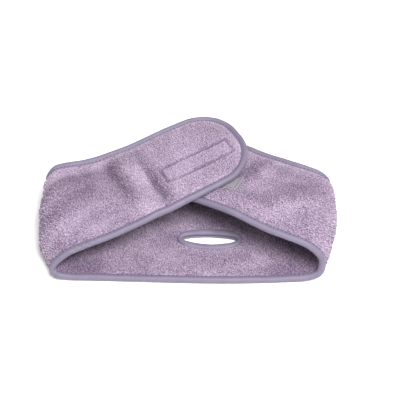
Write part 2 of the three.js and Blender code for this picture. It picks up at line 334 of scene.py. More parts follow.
def addColourMix(tree, factor, first, second):
    node = addNode(tree, "ShaderNodeMix", data_type="RGBA")
    tree.links.new(factor, node.inputs["Factor"])
    tree.links.new(first, node.inputs["A"])
    tree.links.new(second, node.inputs["B"])
    return node.outputs["Result"]


def colour(r, g, b):
    # from the 0 to 255 values a colour picker shows
    linear = [c / 255 / 12.92 if c <= 10 else ((c / 255 + 0.055) / 1.055) ** 2.4 for c in (r, g, b)]
    return (*linear, 1)


def newGroup(name, inputs, outputs):
    group = bpy.data.node_groups.new(name, "ShaderNodeTree")
    for label, kind, default in inputs:
        socket = group.interface.new_socket(label, in_out="INPUT", socket_type=kind)
        if default is not None:
            socket.default_value = default
    for label, kind in outputs:
        group.interface.new_socket(label, in_out="OUTPUT", socket_type=kind)
    start = group.nodes.new("NodeGroupInput")
    end = group.nodes.new("NodeGroupOutput")
    return group, start, end


def makePileGroup():
    # colour of brushed pile: painted shade dark between the tufts and where the Height input is
    # low, pale at the tips, with slow cloudy patches of random tone
    group, start, end = newGroup(
        "pileWithPaintedShade",
        [("Tip Colour", "NodeSocketColor", None), ("Painted Root Shade", "NodeSocketColor", None),
         ("Tuft Size", "NodeSocketFloat", 0.0016), ("Cloud Size", "NodeSocketFloat", 0.03),
         ("Cloud Amount", "NodeSocketFloat", 0.2), ("Height", "NodeSocketFloat", 0.5)],
        [("Colour", "NodeSocketColor"), ("Fibre Height", "NodeSocketFloat")])
    given = start.outputs
    place = addNode(group, "ShaderNodeUVMap", uv_map="cloth")
    perTuft = addMath(group, "DIVIDE", 1, given["Tuft Size"])
    tufts = addPattern(group, "ShaderNodeTexNoise", place, perTuft,
                       {"Detail": 3, "Roughness": 0.62, "Distortion": 0.6})
    perCloud = addMath(group, "DIVIDE", 1, given["Cloud Size"])
    clouds = addPattern(group, "ShaderNodeTexNoise", place, perCloud, {"Detail": 2})
    contrast = addNode(group, "ShaderNodeMapRange")
    contrast.inputs["From Min"].default_value = 0.34
    contrast.inputs["From Max"].default_value = 0.66
    group.links.new(tufts, contrast.inputs["Value"])
    fibres = contrast.outputs[0]
    # the Height input carries the per-point painted shade of the pile
    both = addMath(group, "MULTIPLY_ADD", fibres, 0.45,
                   addMath(group, "MULTIPLY", given["Height"], 0.55))
    centred = addMath(group, "SUBTRACT", clouds, 0.5)
    cloudy = addMath(group, "MULTIPLY_ADD", centred, given["Cloud Amount"], both)
    mixed = addColourMix(group, cloudy, given["Painted Root Shade"], given["Tip Colour"])
    group.links.new(mixed, end.inputs["Colour"])
    group.links.new(fibres, end.inputs["Fibre Height"])
    return group


def makeKnitGroup():
    # fine ribs across a tape, broken up by a little noise
    group, start, end = newGroup(
        "fineKnit",
        [("Base Colour", "NodeSocketColor", None), ("Shade Colour", "NodeSocketColor", None),
         ("Rib Size", "NodeSocketFloat", 0.0007), ("Wear Size", "NodeSocketFloat", 0.012)],
        [("Colour", "NodeSocketColor"), ("Height", "NodeSocketFloat")])
    given = start.outputs
    place = addNode(group, "ShaderNodeUVMap", uv_map="cloth")
    perRib = addMath(group, "DIVIDE", 0.32, given["Rib Size"])
    ribs = addPattern(group, "ShaderNodeTexWave", place, perRib, {"Distortion": 1.5, "Detail": 2},
                      bands_direction="X")
    rows = addPattern(group, "ShaderNodeTexWave", place, perRib, {"Distortion": 1},
                      bands_direction="Y")
    weave = addMath(group, "MULTIPLY", ribs, rows)
    perWear = addMath(group, "DIVIDE", 1, given["Wear Size"])
    wear = addPattern(group, "ShaderNodeTexNoise", place, perWear, {"Detail": 3})
    mask = addMath(group, "MULTIPLY_ADD", wear, 0.9, addMath(group, "MULTIPLY", weave, 0.35))
    mixed = addColourMix(group, mask, given["Shade Colour"], given["Base Colour"])
    group.links.new(mixed, end.inputs["Colour"])
    group.links.new(weave, end.inputs["Height"])
    return group


pileWithPaintedShade = makePileGroup()
fineKnit = makeKnitGroup()


def newMaterial(name, group, colours, settings, look):
    # colours and settings go into the shared effect, look goes onto the shader and the bump
    material = bpy.data.materials.new(name)
    material.use_nodes = True
    tree = material.node_tree
    shader = tree.nodes["Principled BSDF"]
    effect = addNode(tree, "ShaderNodeGroup", node_tree=group)
    for label, value in {**colours, **settings}.items():
        effect.inputs[label].default_value = value
    tree.links.new(effect.outputs["Colour"], shader.inputs["Base Color"])
    bump = addNode(tree, "ShaderNodeBump")
    bump.inputs["Strength"].default_value = look["bump"]
    bump.inputs["Distance"].default_value = look["bumpDepth"]
    tree.links.new(effect.outputs[look["bumpFrom"]], bump.inputs["Height"])
    tree.links.new(bump.outputs["Normal"], shader.inputs["Normal"])
    shader.inputs["Roughness"].default_value = look["roughness"]
    shader.inputs["Specular IOR Level"].default_value = look["specular"]
    shader.inputs["Sheen Weight"].default_value = look["sheen"]
    shader.inputs["Sheen Roughness"].default_value = look["sheenRoughness"]
    shader.inputs["Sheen Tint"].default_value = look["sheenTint"]
    return material, effect


def makeFleece():
    material, effect = newMaterial(
        "lilacFleece", pileWithPaintedShade,
        # the root colour is painted shade, the dark between the tufts and in hollows
        {"Tip Colour": colour(206, 188, 209), "Painted Root Shade": colour(84, 64, 92)},
        {"Tuft Size": 0.0013, "Cloud Size": 0.03, "Cloud Amount": 0.45},
        {"roughness": 0.95, "specular": 0.15, "sheen": 0.35, "sheenRoughness": 0.6,
         "sheenTint": colour(236, 222, 240), "bump": 0.6, "bumpDepth": 0.0006,
         "bumpFrom": "Fibre Height"})
    tree = material.node_tree
    # per-point painted shade of the pile, fed to the group's Height input
    pile = addNode(tree, "ShaderNodeAttribute", attribute_name="pileToneAndShade")
    tree.links.new(pile.outputs["Fac"], effect.inputs["Height"])
    return material


def makeBindingCloth():
    return newMaterial(
        "greyLavenderBinding", fineKnit,
        {"Base Colour": colour(119, 111, 130), "Shade Colour": colour(98, 90, 110)},
        {"Rib Size": 0.0007, "Wear Size": 0.012},
        {"roughness": 0.55, "specular": 0.35, "sheen": 0.2, "sheenRoughness": 0.4,
         "sheenTint": colour(230, 226, 240), "bump": 0.35, "bumpDepth": 0.0002,
         "bumpFrom": "Height"})[0]


def makeShadedThread():
    # painted shade: the thread is darker than the binding, for the shadow that the pile casts at
    # each stitch
    return newMaterial(
        "threadWithPaintedShade", fineKnit,
        {"Base Colour": colour(84, 72, 96), "Shade Colour": colour(62, 52, 74)},
        {"Rib Size": 0.0004, "Wear Size": 0.01},
        {"roughness": 0.5, "specular": 0.4, "sheen": 0.1, "sheenRoughness": 0.4,
         "sheenTint": colour(230, 226, 240), "bump": 0.4, "bumpDepth": 0.0001,
         "bumpFrom": "Height"})[0]


def makeTapeCloth(name, base, shade, roughness):
    return newMaterial(
        name, fineKnit,
        {"Base Colour": base, "Shade Colour": shade},
        {"Rib Size": 0.0009, "Wear Size": 0.006},
        {"roughness": roughness, "specular": 0.4, "sheen": 0.25, "sheenRoughness": 0.5,
         "sheenTint": colour(240, 240, 242), "bump": 0.5, "bumpDepth": 0.0002,
         "bumpFrom": "Height"})[0]


fleeceCloth = makeFleece()
bindingCloth = makeBindingCloth()
shadedThreadCloth = makeShadedThread()
hookCloth = makeTapeCloth("hookTapeCloth", colour(194, 190, 197), colour(164, 159, 170), 0.4)
loopCloth = makeTapeCloth("loopTapeCloth", colour(136, 128, 138), colour(116, 108, 119), 0.8)
print("materials ready")


def makePiece(name, points, faces, clothUv, material, bodies, slotName, pile=None, corners3=()):
    # faces has four corners in each row, corners3 three
    corners3 = np.asarray(corners3, int).reshape(-1, 3)
    used, renumbered = np.unique(np.concatenate([faces.ravel(), corners3.ravel()]),
                                 return_inverse=True)
    fours = renumbered[:faces.size].reshape(-1, 4).tolist()
    threes = renumbered[faces.size:].reshape(-1, 3).tolist()
    points, clothUv = points[used], clothUv[used] * mm
    mesh = bpy.data.meshes.new(name)
    mesh.from_pydata(points.tolist(), [], fours + threes)
    mesh.validate()
    corners = np.zeros(len(mesh.loops), dtype=np.int32)
    mesh.loops.foreach_get("vertex_index", corners)
    uvLayer = mesh.uv_layers.new(name="cloth")
    uvLayer.data.foreach_set("uv", clothUv[corners].ravel())
    if pile is not None:
        # painted shade of the pile, with the random tone of each tuft
        height = mesh.attributes.new("pileToneAndShade", "FLOAT", "POINT")
        height.data.foreach_set("value", pile[used].astype(np.float32))
    mesh.polygons.foreach_set("use_smooth", np.ones(len(mesh.polygons), dtype=bool))
    mesh.materials.append(material)
    piece = bpy.data.objects.new(name, mesh)
    bpy.context.scene.collection.objects.link(piece)
    if len(bodies) == 1:
        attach(piece, bodies[0])
    else:
        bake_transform(piece)
    return piece


# where the cloth passes from one body to the next, low on the fold and then high on it, in metres
foldRise = {
    "fromMiddle": 0.12,
    "halfWidth": 0.05,
    "start": 0.0105,
    "height": 0.01,
    "perWidth": 0.045,  # the far side bends this much higher for each metre across
}
peel = {"from": 494, "to": 530}  # cloth lengths over which the flap bends up


def foldSpan(side):
    lean, half = foldRise["perWidth"], foldRise["halfWidth"]
    start = np.array([side * foldRise["fromMiddle"], shift[1] + half,
                      foldRise["start"] + half * lean])
    step = np.array([0, -lean, 1]) * foldRise["height"] / (1 + lean * lean)
    return tuple(start), tuple(start + step)


def peelSpan():
    ends = [drape(peel[at], 0, 0)[0] for at in ("from", "to")]
    return tuple(ends[0]), tuple(ends[1])


bendOf = {
    ("back", "right_arm"): foldSpan(1),
    ("back", "left_arm"): foldSpan(-1),
    ("left_arm", "flap"): peelSpan(),
}
stretchBodies = {
    "right": ("back", "right_arm"), "left": ("back", "left_arm"), "flap": ("left_arm", "flap")}
stretches = {
    "right": (0, band["splitInBack"]),
    "left": (band["splitInBack"], band["splitInArm"]),
    "flap": (band["splitInArm"], bandLength),
}


def gridFaces(index, flip=False):
    a, b = index[:-1, :-1].ravel(), index[1:, :-1].ravel()
    c, d = index[1:, 1:].ravel(), index[:-1, 1:].ravel()
    return np.stack([a, d, c, b] if flip else [a, b, c, d], 1)


def wallFaces(top, bottom):
    return np.stack([top[:-1], top[1:], bottom[1:], bottom[:-1]], 1)


fleece = {
    "step": 0.9,
    "halfThick": 2.75,
    "pressedHalfThick": 1.2,
    "hem": 2.5,  # the fleece stops this far inside the finished edge
    "slitHem": 2.5,
    "pressedTo": 5.6,
    "fullFrom": 11.5,
    "columns": 54,  # in each half of the width
    "tuftHeight": 0.34,
    "lumpHeight": 0.3,
    "cornerRows": 46,
    "rowGap": 0.4,
    "rimFrom": -0.8,  # the cloth is pressed beside the slit's rim between these two
    "rimTo": 2,
    "pressedTufts": 0.5,  # tuft length on pressed cloth, as a share
    "tuftVariation": 0.2,
    # painted shade of the pile: dark between the tufts and in the stitched groove
    "shade": 0.15,
    "shadePerTuft": 0.3,
    "shadeInGroove": 0.5,
    "darkest": -0.2,
}
faceSeeds = ((1, 11), (-1, 41))  # outer and inner face, with the seed of each one's pile
innerPatternAt = 300  # the inner face takes its pattern from another part of the cloth


def halfWidth(u):
    spread = np.abs(2 * u / bandLength - 1) ** band["taper"]
    return band["midHalfWidth"] - (band["midHalfWidth"] - band["tipHalfWidth"]) * spread


def rowHalfWidth(u, inset):
    radius = band["cornerRadius"]
    fromTip = np.minimum(u, bandLength - u)
    back = np.clip(radius - fromTip, 0, radius - inset)
    tipWidth = halfWidth(np.where(u < bandLength / 2, radius, bandLength - radius))
    rounded = tipWidth - radius + np.sqrt((radius - inset) ** 2 - back**2)
    return np.where(fromTip < radius, rounded, halfWidth(u) - inset)


def edgeDistance(u, v):
    radius = band["cornerRadius"]
    fromTip = np.minimum(u, bandLength - u)
    side = np.where(fromTip < radius,
                    halfWidth(np.where(u < bandLength / 2, radius, bandLength - radius)),
                    halfWidth(u))
    back, out = radius - fromTip, np.abs(v) - (side - radius)
    corner = (back > 0) & (out > 0)
    return np.where(corner, radius - np.hypot(back, out), np.minimum(fromTip, side - np.abs(v)))


def slitOpening(u):
    hem = fleece["slitHem"]
    across = np.clip(1 - ((u - slitBinding["u"]) / (slitBinding["halfLength"] + hem)) ** 2, 0, 1)
    return (slitBinding["halfWidth"] + hem) * across ** slitBinding["openingPower"]


def slitDistance(u, v):
    # worked out only near the slit, and far elsewhere
    nearU, nearV, far = 42, 22, 99.0
    edgeU, edgeV = slitPath(np.linspace(0, 2 * np.pi, 181))
    close = np.full(u.shape, far)
    near = (np.abs(u - slitBinding["u"]) < nearU) & (np.abs(v - slitBinding["v"]) < nearV)
    gaps = np.hypot(u[near][:, None] - edgeU[None], v[near][:, None] - edgeV[None])
    close[near] = gaps.min(1)
    return close


def slitPath(angle):
    # pointed at both ends
    rise = np.sin(angle)
    power = np.where(rise > 0, slitBinding["farPower"], slitBinding["nearPower"])
    u = slitBinding["u"] + slitBinding["halfLength"] * np.cos(angle)
    return u, slitBinding["v"] + slitBinding["halfWidth"] * np.sign(rise) * np.abs(rise) ** power


def pileField(u, v, seed):
    # tufts in three sizes, and slow lumps
    tufts = (0.55 * clothNoise(u, v, 2.1, seed) + 0.35 * clothNoise(u + 3, v, 1.25, seed + 1)
             + 0.3 * clothNoise(u, v + 7, 3.6, seed + 2))
    lumps = 0.6 * clothNoise(u, v, 9, seed + 3) + 0.5 * clothNoise(u, v, 17, seed + 4)
    return tufts, lumps


def rowsBetween(start, stop):
    # rows across the cloth, closer together round the tips
    radius, hem, gap = band["cornerRadius"], fleece["hem"], fleece["rowGap"]
    rows = np.linspace(start, stop, int((stop - start) / fleece["step"]) + 1)
    angles = np.linspace(0, np.pi / 2, fleece["cornerRows"])
    rounded = hem + (radius - hem) * (1 - np.cos(angles))
    if start == 0:
        rows = np.concatenate([rounded, rows[rows > radius + gap]])
    if stop == bandLength:
        rows = np.concatenate([rows[rows < bandLength - radius - gap], bandLength - rounded[::-1]])
    return rows


def fleeceFace(u, v, side, seed, stretch):
    # height of one face above the middle of the cloth, length of its tufts as a share, the painted
    # shade of its slopes, hollows and corners, and the painted shade between the tufts and in the
    # stitched groove
    press = smooth(edgeDistance(u, v), fleece["pressedTo"], fleece["fullFrom"])
    if stretch == "right":
        rim = slitBinding["reach"]
        beside = smooth(slitDistance(u, v), rim + fleece["rimFrom"], rim + fleece["rimTo"])
        press = np.minimum(press, beside)
    tufts, lumps = pileField(u, v, seed)
    full = fleece["halfThick"] - fleece["pressedHalfThick"]
    level = fleece["pressedHalfThick"] + full * press
    level = level + (fleece["tuftHeight"] * tufts + fleece["lumpHeight"] * lumps) * press
    shortest = fleece["pressedTufts"]
    share = shortest + (1 - shortest) * press + fleece["tuftVariation"] * tufts
    groove = np.zeros_like(level)
    if stretch == "flap":
        box = boxDistance(u, v, hookArea)
        groove = np.exp(-(box / hookBox["width"]) ** 2)
        level = level - hookBox["groove"] * groove * (1 if side > 0 else hookBox["innerGroove"])
        beside = np.exp(-(box / hookBox["shorterReach"]) ** 2)
        inside = np.where(outsideBox(u, v, hookArea) < 0, hookBox["insideLength"], 1)
        share = share * (1 - hookBox["shorter"] * beside) * inside
    tone = paintedPileShade(u, v, side)
    shade = fleece["shade"] + fleece["shadePerTuft"] * tufts - fleece["shadeInGroove"] * groove
    return level, share, tone, np.clip(shade + tone, fleece["darkest"], 1)


def makeFleecePiece(name, stretch, replaced):
    start, stop = stretches[stretch]
    hasSlit = start < slitBinding["u"] < stop
    rows = rowsBetween(start, stop)
    limit = rowHalfWidth(rows, fleece["hem"])
    opening = slitOpening(rows) if hasSlit else np.zeros_like(rows)
    middle = slitBinding["v"]
    n = fleece["columns"]
    share = np.linspace(0, 1, n)
    near = -limit[:, None] + (middle - opening + limit)[:, None] * share
    far = (middle + opening)[:, None] + (limit - middle - opening)[:, None] * share
    v = np.concatenate([near, far], 1)
    u = np.repeat(rows[:, None], v.shape[1], 1)
    layers, shades = [], []
    for side, seed in faceSeeds:
        level, _, _, shade = fleeceFace(u, v, side, seed, stretch)
        layers.append(side * level)
        shades.append(shade)
    index = np.arange(u.size).reshape(u.shape)
    closed = opening <= 0
    index[closed, n] = index[closed, n - 1]  # the two halves meet here
    inner = index + u.size
    faces = []
    for columns in (slice(0, n), slice(n, 2 * n)):
        faces += [gridFaces(index[:, columns]), gridFaces(inner[:, columns], True)]
        faces.append(wallFaces(index[0, columns], inner[0, columns]))
        faces.append(wallFaces(index[-1, columns][::-1], inner[-1, columns][::-1]))
    faces.append(wallFaces(index[::-1, 0], inner[::-1, 0]))
    faces.append(wallFaces(index[:, -1], inner[:, -1]))
    if hasSlit:
        openRows = np.flatnonzero(~closed)
        span = slice(openRows[0] - 1, openRows[-1] + 2)
        faces.append(wallFaces(index[span, n - 1], inner[span, n - 1]))
        faces.append(wallFaces(index[span, n][::-1], inner[span, n][::-1]))
    points = np.concatenate([drape(u, v, layer) for layer in layers])
    clothUv = np.concatenate([np.stack([u.ravel(), v.ravel()], 1),
                              np.stack([u.ravel(), v.ravel() + innerPatternAt], 1)])
    pile = np.concatenate([shade.ravel() for shade in shades])
    piece = makePiece(name, points, np.concatenate(faces), clothUv, fleeceCloth,
                      stretchBodies[stretch], "fleece", pile)
    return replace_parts(piece, *replaced)


loopTape = {
    "u0": 14,
    "u1": 86.5,
    "v0": -23,
    "v1": -3,
    "base": 3.3,
    "thick": 0.9,
    "bumps": 0.12,
    "seed": 65,
}
loopArea = (loopTape["u0"], loopTape["u1"], loopTape["v0"], loopTape["v1"])


pileTufts = {
    "pitch": 1.4,
    "jitter": 0.45,
    "length": (1.0, 1.8),
    "baseRadius": 0.6,
    "radiusVaries": (0.8, 1.25),
    "sunk": 0.35,
    "lean": 0.75,
    "leanVaries": (0.2, 1),
    "nap": (0.35, 0.1),  # the way the pile has been brushed
    "sewnInset": 7.2,
    "slitGap": 1.3,
    "boxGap": 1.7,
    "tapeGap": 0.3,
    "tone": (0.5, 1.0),
    "paintedShade": 1.3,
    "points": 7,  # two rings of three and a tip
}


def makePilePiece(name, stretch):
    # the brushed tufts that stand on both faces: bent cones, sunk a little into the cloth
    start, stop = stretches[stretch]
    hasSlit = start < slitBinding["u"] < stop
    random = np.random.default_rng(7 + int(start))
    pitch = pileTufts["pitch"]
    groups = []
    reach = band["midHalfWidth"] + 1
    for side, seed in faceSeeds:
        rows, columns = np.arange(start, stop, pitch), np.arange(-reach, reach, pitch)
        u, v = (a.ravel() for a in np.meshgrid(rows, columns, indexing="ij"))
        u = u + random.uniform(-1, 1, u.size) * pileTufts["jitter"] * pitch
        v = v + random.uniform(-1, 1, v.size) * pileTufts["jitter"] * pitch
        inside = edgeDistance(u, v)
        keep = (inside > pileTufts["sewnInset"]) & (u > start) & (u < stop)
        if hasSlit:
            keep &= slitDistance(u, v) > slitBinding["reach"] + pileTufts["slitGap"]
            keep &= np.hypot((u - slitBinding["u"]) / slitBinding["halfLength"],
                             (v - slitBinding["v"]) / slitBinding["halfWidth"]) > 1
        if stretch == "flap" and side > 0:
            keep &= boxDistance(u, v, hookArea) > pileTufts["boxGap"]
        if side > 0 and stretch == "right":
            keep &= outsideBox(u, v, loopArea) > pileTufts["tapeGap"]
        if side < 0 and stretch == "flap":
            keep &= outsideBox(u, v, hookArea) > pileTufts["tapeGap"]
        u, v = u[keep], v[keep]
        # tone here is the painted shade of slopes, hollows and corners
        base, share, tone, _ = fleeceFace(u, v, side, seed, stretch)
        groups.append((u, v, base, share, tone, side))
    parts = [tuftPoints(*group, random) for group in groups]
    points, clothUv, pile, sides = (np.concatenate([part[k] for part in parts]) for k in range(4))
    count = len(points) // pileTufts["points"]
    first = np.arange(count)[:, None] * pileTufts["points"]
    quads, ends = [], []
    for k in range(3):
        n = (k + 1) % 3
        quads.append(first + np.array([k, n, n + 3, k + 3]))
        ends.append(first + np.array([k + 3, n + 3, 6]))
    ends.append(first + np.array([0, 2, 1]))
    quads, ends = np.concatenate(quads), np.concatenate(ends)
    flip = sides < 0
    quads[np.tile(flip, 3)] = quads[np.tile(flip, 3)][:, ::-1]
    ends[np.tile(flip, 4)] = ends[np.tile(flip, 4)][:, ::-1]
    return makePiece(name, points, quads, clothUv, fleeceCloth, stretchBodies[stretch], "fleece",
                     pile, ends)


def tuftPoints(u, v, base, fullness, paintedShade, side, random):
    count = u.size
    spin = random.uniform(0, 2 * np.pi, count)[:, None] + np.arange(3) * 2 * np.pi / 3
    size = pileTufts["baseRadius"] * random.uniform(*pileTufts["radiusVaries"], count)[:, None]
    length = random.uniform(*pileTufts["length"], count) * fullness
    away = random.uniform(0, 2 * np.pi, count)
    lean = pileTufts["lean"] * random.uniform(*pileTufts["leanVaries"], count) * length
    leanU = lean * np.cos(away) + pileTufts["nap"][0] * length
    leanV = lean * np.sin(away) + pileTufts["nap"][1] * length
    us, vs, ws, tones = [], [], [], []
    # random tone of each tuft, plus the painted shade of slopes, hollows and corners
    tone = random.uniform(*pileTufts["tone"], count) + pileTufts["paintedShade"] * paintedShade
    # each ring's place along the lean, radius, height and painted shade, dark at the roots between
    # the tufts
    rings = ((0, 1, -pileTufts["sunk"], 0.15), (0.45, 0.8, 0.6, 0.75))
    for share, radius, rise, shade in rings:
        us.append(u[:, None] + share * leanU[:, None] + radius * size * np.cos(spin))
        vs.append(v[:, None] + share * leanV[:, None] + radius * size * np.sin(spin))
        level = base + (rise if rise < 0 else rise * length)
        ws.append(np.repeat(level[:, None], 3, 1))
        tones.append(np.repeat((shade * tone)[:, None], 3, 1))
    us.append((u + leanU)[:, None])
    vs.append((v + leanV)[:, None])
    ws.append((base + length)[:, None])
    tones.append(tone[:, None])
    us, vs, ws, tones = (np.concatenate(a, 1) for a in (us, vs, ws, tones))
    points = drape(us, vs, side * ws)
    patternAt = 0 if side > 0 else innerPatternAt
    clothUv = np.stack([us.ravel(), vs.ravel() + patternAt], 1)
    return points, clothUv, tones.ravel(), np.full(count, side)


rightFleece = makeFleecePiece("right_fleece", "right", ["back_panel", "right_arm_panel"])
leftFleece = makeFleecePiece("left_fleece", "left", ["left_arm_panel"])
flapFleece = makeFleecePiece("flap_fleece", "flap", ["flap_panel"])
rightPile = makePilePiece("right_pile", "right")
leftPile = makePilePiece("left_pile", "left")
flapPile = makePilePiece("flap_pile", "flap")
print("fleece laid")


def edgePath(stretch, step=1.0):
    # points on the finished edge with the direction that leads into the cloth
    start, stop = stretches[stretch]
    radius = band["cornerRadius"]
    if stretch == "left":
        rows = np.arange(start, stop, step)
        rows = np.append(rows, stop)
        return [straightEdge(rows, -1), straightEdge(rows, 1)]
    atStart = stretch == "right"
    tip, into = (0, 1) if atStart else (bandLength, -1)
    centre = tip + into * radius
    split = stop if atStart else start
    straight = np.arange(0, abs(split - centre), step)
    rows = np.append(split - np.sign(split - centre) * straight, centre)
    side = float(halfWidth(np.array([centre]))[0]) - radius
    angles = np.linspace(np.pi / 2, 0, int(radius * np.pi / 2 / step))
    corner = np.stack([centre - into * radius * np.cos(angles), -side - radius * np.sin(angles),
                       into * np.cos(angles), np.sin(angles)], 1)
    across = np.arange(-side + step, side, step)
    end = np.stack([np.full_like(across, tip), across, np.full_like(across, into),
                    np.zeros_like(across)], 1)
    nearHalf = np.concatenate([straightEdge(rows, -1)[:-1], corner])
    farHalf = nearHalf[::-1] * np.array([1, -1, 1, -1])
    return [np.concatenate([nearHalf, end, farHalf])]


def straightEdge(rows, side):
    return np.stack([rows, side * halfWidth(rows), np.zeros_like(rows),
                     np.full_like(rows, -side)], 1)


def pathLength(path, inset, w):
    points = drape(path[:, 0] + inset * path[:, 2], path[:, 1] + inset * path[:, 3], w)
    return np.concatenate([[0], np.cumsum(np.linalg.norm(np.diff(points, axis=0), axis=1))]) / mm


def sweep(path, section, closed=False, wobble=None):
    # section: inset and height pairs; wobble gives how far each moves inwards and up
    inset, w = (section[:, k][None, :] for k in (0, 1))
    u = path[:, 0:1] + inset * path[:, 2:3]
    v = path[:, 1:2] + inset * path[:, 3:4]
    w = np.broadcast_to(w, u.shape)
    if wobble is not None:
        deeper, higher = wobble(path, inset, w)
        u = u + deeper * path[:, 2:3]
        v = v + deeper * path[:, 3:4]
        w = w + higher
    points = drape(u, v, w)
    index = np.arange(u.size).reshape(u.shape)
    index = np.concatenate([index, index[:, :1]], 1)
    if closed:
        index = np.concatenate([index, index[:1]], 0)
    faces = gridFaces(index)
    run = np.concatenate([[0], np.cumsum(np.hypot(*np.diff(path[:, :2], axis=0).T))])
    girth = np.concatenate([[0], np.cumsum(np.hypot(*np.diff(section, axis=0).T))])
    clothUv = np.stack(np.meshgrid(run, girth, indexing="ij"), 2).reshape(-1, 2)
    return points, faces, clothUv


def joinParts(parts):
    offset, points, faces, uvs = 0, [], [], []
    for partPoints, partFaces, partUvs in parts:
        points.append(partPoints)
        faces.append(partFaces + offset)
        uvs.append(partUvs)
        offset += len(partPoints)
    return np.concatenate(points), np.concatenate(faces), np.concatenate(uvs)


binding = {
    # inset from the finished edge and height, from the outer face round to the inner face
    "outerFace": [(6.1, 0.8), (6.25, 1.4), (5.9, 1.85), (5.3, 1.8), (4.6, 2.2), (3.8, 2.75),
                  (2.9, 3.0), (1.9, 2.9), (1.05, 2.4), (0.35, 1.5), (0, 0.5)],
    "pucker": 0.22,
    "seamInset": 5.3,
    "seamHeight": 1.9,
    "stitchPitch": 3.6,
    "twistAt": 450,  # cloth length where the near edge is twisted
    "twistLength": 15,
    "twistHeight": 0.9,
    "twistWaves": (1.1, 0.7),  # along the edge and across it
    "ripples": ((7, 71, 0.3), (15, 72, 0.35)),  # size, seed and height
    "rippleAt": 2,
    "rippleReach": 3.5,
    "rippleInwards": 0.35,
    "rippleUp": 0.7,
    "pinchReach": 1.1,
}


def mirrored(face):
    return np.array(face + [(inset, -w) for inset, w in reversed(face)], float)


def bindingWobble(path, inset, w):
    u, v = path[:, 0:1], path[:, 1:2]
    reach = np.exp(-((inset - binding["rippleAt"]) / binding["rippleReach"]) ** 2)
    ripple = sum(height * clothNoise(u + 0 * inset, v + inset, size, seed)
                 for size, seed, height in binding["ripples"])
    alongWave, acrossWave = binding["twistWaves"]
    twist = np.exp(-((u - binding["twistAt"]) / binding["twistLength"]) ** 2) * (v < 0)
    twist = binding["twistHeight"] * twist * np.sin(u * alongWave + inset * acrossWave)
    ripple = ripple + twist
    phase = 2 * np.pi * u / binding["stitchPitch"]
    atSeam = np.exp(-((inset - binding["seamInset"]) / binding["pinchReach"]) ** 2)
    pinch = np.abs(binding["pucker"] * np.cos(phase) * atSeam)
    up = ripple * reach * binding["rippleUp"] - pinch
    return binding["rippleInwards"] * ripple * reach, np.sign(w) * up


def makeBindingPiece(name, stretch, replaced):
    section = mirrored(binding["outerFace"])
    parts = [sweep(path, section, wobble=bindingWobble) for path in edgePath(stretch)]
    piece = makePiece(name, *joinParts(parts), bindingCloth, stretchBodies[stretch], "binding")
    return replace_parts(piece, *replaced)


rightBinding = makeBindingPiece(
    "right_binding", "right", ["right_arm_binding", "back_binding_near", "back_binding_far"])
leftBinding = makeBindingPiece(
    "left_binding", "left", ["left_arm_binding_near", "left_arm_binding_far"])
flapBinding = makeBindingPiece("flap_binding_cloth", "flap", ["flap_binding"])


stitch = {"length": 2.5, "radius": 0.32, "sink": 0.6, "rings": 7, "sides": 6}


def stitchRow(path, inset, w, pitch, side):
    lengths = pathLength(path, inset, w)
    count = int(lengths[-1] / pitch)
    gap = lengths[-1] / count
    starts = (np.arange(count) + 0.5) * gap
    reach = np.linspace(-0.5, 0.5, stitch["rings"])
    at = np.clip((starts[:, None] + reach * stitch["length"]).ravel(), 0, lengths[-1])
    along = [np.interp(at, lengths, path[:, k]) for k in range(4)]
    around = np.linspace(0, 2 * np.pi, stitch["sides"], endpoint=False)
    taper = np.sqrt(np.clip(1 - (2 * np.abs(reach)) ** 4, 0.04, 1)) * stitch["radius"]
    radius = np.tile(taper, count)
    drop = np.tile((2 * np.abs(reach)) ** 3 * stitch["sink"], count)
    insets = inset + radius[:, None] * np.cos(around)
    heights = w + side * (radius[:, None] * np.sin(around) - drop[:, None])
    u = along[0][:, None] + insets * along[2][:, None]
    v = along[1][:, None] + insets * along[3][:, None]
    points = drape(u, v, heights)
    index = np.arange(u.size).reshape(count, stitch["rings"], stitch["sides"])
    index = np.concatenate([index, index[:, :, :1]], 2)
    faces = np.concatenate([gridFaces(one) for one in index])
    clothUv = np.stack([np.repeat(at, stitch["sides"]), np.tile(around, len(at)) * 0.3], 1)
    return points, faces, clothUv


def makeSeam(name, stretch, replaced):
    parts = []
    for path in edgePath(stretch, 1.5):
        for side in (1, -1):
            parts.append(stitchRow(path, binding["seamInset"], side * binding["seamHeight"],
                                   binding["stitchPitch"], side))
    piece = makePiece(name, *joinParts(parts), shadedThreadCloth, stretchBodies[stretch], "thread")
    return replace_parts(piece, *replaced)


rightSeam = makeSeam("right_stitches", "right",
                     ["right_arm_seam", "back_seam_near", "back_seam_far"])
leftSeam = makeSeam("left_stitches", "left", ["left_arm_seam_near", "left_arm_seam_far"])
flapSeam = makeSeam("flap_stitches", "flap", ["flap_seam"])
print("edges bound and sewn")


def slitEdgePath(count=168):
    angle = np.linspace(0, 2 * np.pi, count, endpoint=False)
    u, v = slitPath(angle)
    ahead = np.stack(slitPath(angle + 0.01), 1) - np.stack(slitPath(angle - 0.01), 1)
    out = np.stack([ahead[:, 1], -ahead[:, 0]], 1)
    out /= np.linalg.norm(out, axis=1)[:, None]
    out *= (1 - slitBinding["slimEnds"] * np.cos(angle) ** 8)[:, None]
    return np.concatenate([np.stack([u, v], 1), out], 1)


# inset and height, from the outer side round into the opening
slitRim = [(6.2, 0.8), (6.5, 1.7), (6.1, 2.6), (5.1, 3.3), (3.8, 3.7), (2.5, 3.65), (1.3, 3.3),
           (0.4, 2.6), (0, 1.8), (0.4, 1.1), (1.5, 0.6), (2.3, 0.2)]


